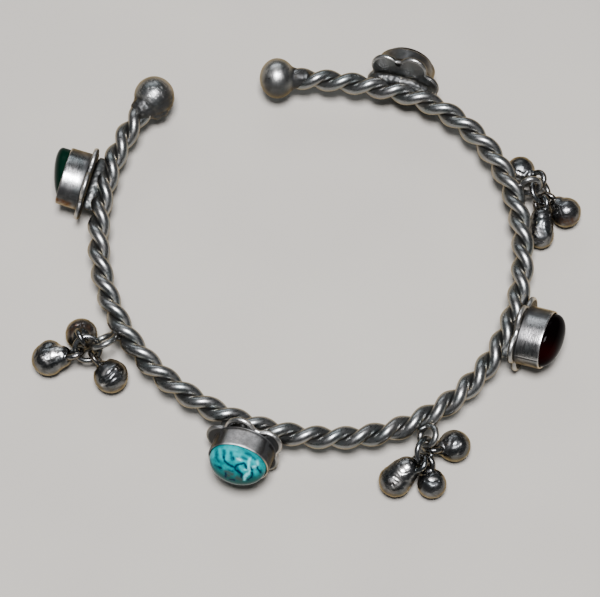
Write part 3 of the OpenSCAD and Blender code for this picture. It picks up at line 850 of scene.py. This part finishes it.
GEMS = {
    "left": ("green_stone", green),
    "front": ("turquoise_stone", turquoise),
    "right": ("red_stone", red),
    "back": ("red_stone", red),
}
for k, (side, row) in enumerate(SETTINGS.items()):
    p, rot = setting_frame(row)
    make("plate_" + side, [plate_part(row, p, rot, 40 + k, side)], plate_silver, "silver", "band")
    make("solder_" + side, [solder_part(row, p, rot, 60 + 10 * k, side)], solder_silver, "silver", "band")
    make("bezel_" + side, [bezel_part(row, p, rot, 80 + k, side)], bezel_silver, "silver", "band")
    gem_slot, gem = GEMS[side]
    make("cabochon_" + side, [dome_part(row, p, rot, 90 + k, side)], gem, gem_slot, "stone_" + side)


# Marks on the drops, as seen from the camera's side: kind, width, depth and line on the ball
# The bright lines are painted highlights and rubbed patches, the dark ones dented creases darkened by patina
# and painted shade, the stains real.
DROP_MARKS = {
    "left_1": [
        ("wear", 0.2, 0.0, [(0.3, 0.3), (0.7, 0.6)]),
        ("cavity", 0.03, 0.05, [(0.0, 0.1), (0.45, 0.55)]),
        ("cavity", 0.03, 0.05, [(0.2, -0.1), (0.65, 0.3)]),
        ("wear", 0.08, 0.0, [(-0.3, 0.2), (0.05, -0.2)])],
    "left_2": [
        ("cavity", 0.05, 0.14, [(-0.5, 0.5), (-0.1, 0.6), (0.1, 0.35), (0.15, 0.7)]),
        ("stain", 0.5, 0.0, [(-0.3, 0.3), (0.4, 0.3)]),
        ("wear", 0.1, 0.0, [(0.0, 0.1), (0.3, 0.05)])],
    "left_3": [
        ("cavity", 0.09, 0.16, [(-0.5, -0.25), (-0.05, 0.05), (0.3, 0.4)]),
        ("cavity", 0.07, 0.12, [(-0.15, -0.5), (0.25, -0.1), (0.6, 0.05)]),
        ("wear", 0.08, 0.0, [(-0.4, 0.1), (-0.15, 0.45)]),
        ("wear", 0.07, 0.0, [(-0.45, -0.5), (-0.3, -0.4)])],
    "front_1": [
        ("cavity", 0.06, 0.08, [(-0.1, 0.3), (0.2, 0.1), (0.3, -0.3)]),
        ("wear", 0.22, 0.0, [(0.05, 0.25), (0.5, 0.75)]),
        ("wear", 0.09, 0.0, [(-0.35, -0.35), (0.1, -0.25), (0.3, 0.05)]),
        ("cavity", 0.06, 0.1, [(-0.5, -0.3), (-0.2, -0.1), (-0.1, -0.45)])],
    "front_2": [
        ("cavity", 0.07, 0.1, [(-0.5, 0.25), (0.0, 0.1), (0.4, 0.25)]),
        ("wear", 0.07, 0.0, [(-0.2, 0.4), (0.25, 0.4)])],
    "front_3": [
        ("cavity", 0.12, 0.12, [(-0.45, -0.35), (-0.2, 0.5)]),
        ("wear", 0.05, 0.0, [(0.15, -0.5), (0.35, 0.2)])],
    "right_1": [
        ("cavity", 0.08, 0.1, [(-0.3, -0.1), (0.1, -0.3), (0.4, -0.15)]),
        ("wear", 0.1, 0.0, [(-0.3, -0.3), (-0.1, -0.4)])],
    "right_2": [
        ("cavity", 0.05, 0.08, [(-0.5, 0.3), (-0.3, -0.3)]),
        ("stain", 0.3, 0.06, [(-0.4, -0.6), (0.3, -0.6)])],
    "right_3": [
        ("cavity", 0.24, 0.12, [(-0.15, 0.4), (0.1, 0.05)]),
        ("cavity", 0.1, 0.1, [(-0.4, -0.4), (0.0, -0.5)]),
        ("wear", 0.1, 0.0, [(0.2, -0.5), (0.5, -0.2)])],
}
# Lumps on some drops: share of the way from the ball towards its loop, push right and up in mm, size
DROP_LUMPS = {
    "left_1": [(0.2, 0.0, 0.1, 2.3), (0.42, 0.0, 0.0, 1.9), (0.0, 0.2, 1.0, 2.0)],
    "left_2": [(0.4, 0.0, 0.0, 1.6)],
    "left_3": [(0.45, 0.0, 0.0, 1.2)],
    "front_1": [(0.2, -0.1, 0.1, 2.4), (0.38, -0.25, 0.15, 2.25), (0.55, -0.3, 0.2, 2.0)],
    "front_2": [(0.5, 0.0, 0.0, 1.25)],
    "front_3": [(0.5, 0.0, 0.0, 1.3)],
    "right_1": [(0.5, 0.0, 0.0, 1.2)],
    "right_2": [(0.4, 0.1, 0.2, 1.6)],
    "right_3": [(0.18, 0.0, 0.0, 2.05), (0.36, 0.1, 0.0, 1.95), (0.54, 0.1, 0.0, 1.75)],
}


def drop_part(eye, way, axis, length, ball_d, swell, seed, name):
    """Cast drop: ball, neck and loop in one, dented all over."""
    ball = eye + way * length
    xs, rs = ball_profile(ball_d / 2, ball_d * swell / 2, DROP_NECK / 2, length - LOOP_R - 0.1)
    parts = [revolve(ball, -way, xs, rs, 64), torus(eye, axis, LOOP_R, LOOP_WIRE, 60, rough=0.01, seed=seed),
             blob(eye + way * (LOOP_R + 0.25), (way * 0.7, axis * 0.62, np.cross(way, axis) * 0.9),
                  seed + 2, 0.03)]
    for share, right, up, size in DROP_LUMPS[name]:
        middle = ball - way * length * share + RIGHTWARD * right + UPWARD * up
        parts.append(blob(middle, (way * size, axis * size, np.cross(way, axis) * size), seed + 6, 0.03, 1.8))
    p, normal, faces = fused(parts, 0.1, 7)
    body = smooth(np.linalg.norm(p - eye, axis=1), LOOP_R + 0.35, LOOP_R + 1.5)
    crease = smooth(1 - 2.5 * np.abs(lumps(p, 1.7, seed + 3)), 0.4, 1.0)
    push = 0.05 * (1 + lumps(p, 1.7, seed)) + 0.02 * (1 + lumps(p, 0.8, seed + 4)) + 0.04 * crease
    push = push * body + 0.008 * (1 + lumps(p, 0.35, seed + 5))
    # Creases darkened: patina and painted shade.
    marks = {"cavity": 0.35 * crease * body, "wear": 0 * push, "stain": 0 * push}
    for kind, width, depth, line in DROP_MARKS[name]:
        near = score(p, ball, line, width) * body
        push = push + depth * near
        marks[kind] = np.maximum(marks[kind], 0.9 * near)
    # Painted shade: darker towards the bottom of each drop.
    marks["cavity"] = np.maximum(marks["cavity"], 0.8 * (1 - smooth(p[:, 2], 0.3, 2.4)))
    return p - normal * push[:, None], faces, None, marks


def cluster(side, seed):
    s, droop, roll, yaw, dip, turn, fixed_r = CLUSTERS[side]
    m, t, n = at(s)
    out = turned(n, t, droop)
    eye = m + n * (ROPE_D / 2 - FIXED_SINK) + out * fixed_r
    axis = turned(t, out, roll)
    root = eye - out * fixed_r
    p, normal, faces = fused([torus(eye, axis, fixed_r, FIXED_WIRE, seed=11),
                              blob(root - out * 0.1, (out * 0.6, t * 1.1, UP * 0.9), 12, 0.06)], 0.1, 3)
    push = 0.012 * (1 + lumps(p, 0.8, seed)) + 0.01 * (1 + lumps(p, 0.3, seed + 1))
    near_root = 1 - smooth(np.linalg.norm(p - root, axis=1), 0.5, 1.6)
    loop = (p - normal * push[:, None], faces, None, {"cavity": 0.4 * near_root})
    make("loop_" + side, [loop], rope_silver, "silver", "band")
    way = turned(n, UP, yaw)
    way = way * math.cos(math.radians(dip)) - UP * math.sin(math.radians(dip))
    hook = eye + unit(way - axis * (way @ axis)) * (fixed_r - (FIXED_WIRE + RING_WIRE) / 2 - HANG_GAP)
    centre = hook + way * RING_R
    ring_axis = turned(unit(np.cross(unit(axis - way * (axis @ way)), way)), way, turn)
    link = torus(centre, ring_axis, RING_R, RING_WIRE, around=88, seed=14)
    make("link_" + side, [link], shaded_ring_silver, "silver", "ring_" + side)
    for i, (around, heading, length, ball_d, swell) in enumerate(DROPS[side]):
        q = centre - RING_R * turned(way, ring_axis, around)
        off = LOOP_R - (LOOP_WIRE + RING_WIRE) / 2 - HANG_GAP
        fall = (q[2] - ball_d / 2) / (length + off)
        flat = math.sqrt(1 - fall * fall)
        d = np.array([math.cos(math.radians(heading)) * flat, math.sin(math.radians(heading)) * flat, -fall])
        v = np.cross(ring_axis, q - centre)
        name = "%s_%d" % (side, i + 1)
        eye_axis = unit(v - d * (v @ d))
        charm = drop_part(q + d * off, d, eye_axis, length, ball_d, swell, seed + 20 * i, name)
        make("charm_" + name, [charm], cast_silver, "cast_silver", "drop_" + name)


for k, side in enumerate(CLUSTERS):
    cluster(side, 100 + 70 * k)


# Floor, lights and camera
def floor():
    mesh = bpy.data.meshes.new("floor")
    w = 1.5
    mesh.from_pydata([(-w, -w, 0), (w, -w, 0), (w, w, 0), (-w, w, 0)], [], [(0, 1, 2, 3)])
    obj = bpy.data.objects.new("floor", mesh)
    bpy.context.scene.collection.objects.link(obj)
    m, nt, b = nodes_of("floor")
    coords = nt.nodes.new("ShaderNodeTexCoord").outputs["Object"]
    pale = ramp(nt, noise(nt, coords, 30.0, 2.0), [(0.3, (0.36, 0.345, 0.315)), (0.7, (0.385, 0.37, 0.335))])
    nt.links.new(pale, b.inputs["Base Color"])
    b.inputs["Roughness"].default_value = 0.9
    mesh.materials.append(m)


def area(name, where, size, watts, colour=(1, 1, 1)):
    light = bpy.data.lights.new(name, "AREA")
    light.shape = "RECTANGLE"
    light.size, light.size_y = size
    light.energy = watts
    light.color = colour
    obj = bpy.data.objects.new(name, light)
    obj.location = where
    obj.rotation_euler = (-Vector(where)).to_track_quat("-Z", "Y").to_euler()
    bpy.context.scene.collection.objects.link(obj)


floor()
area("key", (-0.028, -0.055, 0.55), (0.15, 0.15), 8.0, (1.0, 0.98, 1.0))
area("far", (0.12, 0.42, 0.32), (0.45, 0.16), 0.6, (0.90, 0.95, 1.0))

world = bpy.data.worlds.new("studio")
world.use_nodes = True
world.node_tree.nodes["Background"].inputs["Color"].default_value = (0.82, 0.84, 0.86, 1)
world.node_tree.nodes["Background"].inputs["Strength"].default_value = 0.13
bpy.context.scene.world = world

cam_data = bpy.data.cameras.new("camera")
cam_data.lens = FOCAL / 600 * 36
cam_data.sensor_width = 36
cam_data.clip_start = 0.01
cam = bpy.data.objects.new("camera", cam_data)
look = Matrix.Identity(4)
for i in range(3):
    look[i][0], look[i][1], look[i][2], look[i][3] = RIGHTWARD[i], UPWARD[i], NEARER[i], CAM_AT[i] * MM
cam.matrix_world = look
bpy.context.scene.collection.objects.link(cam)
bpy.context.scene.camera = cam
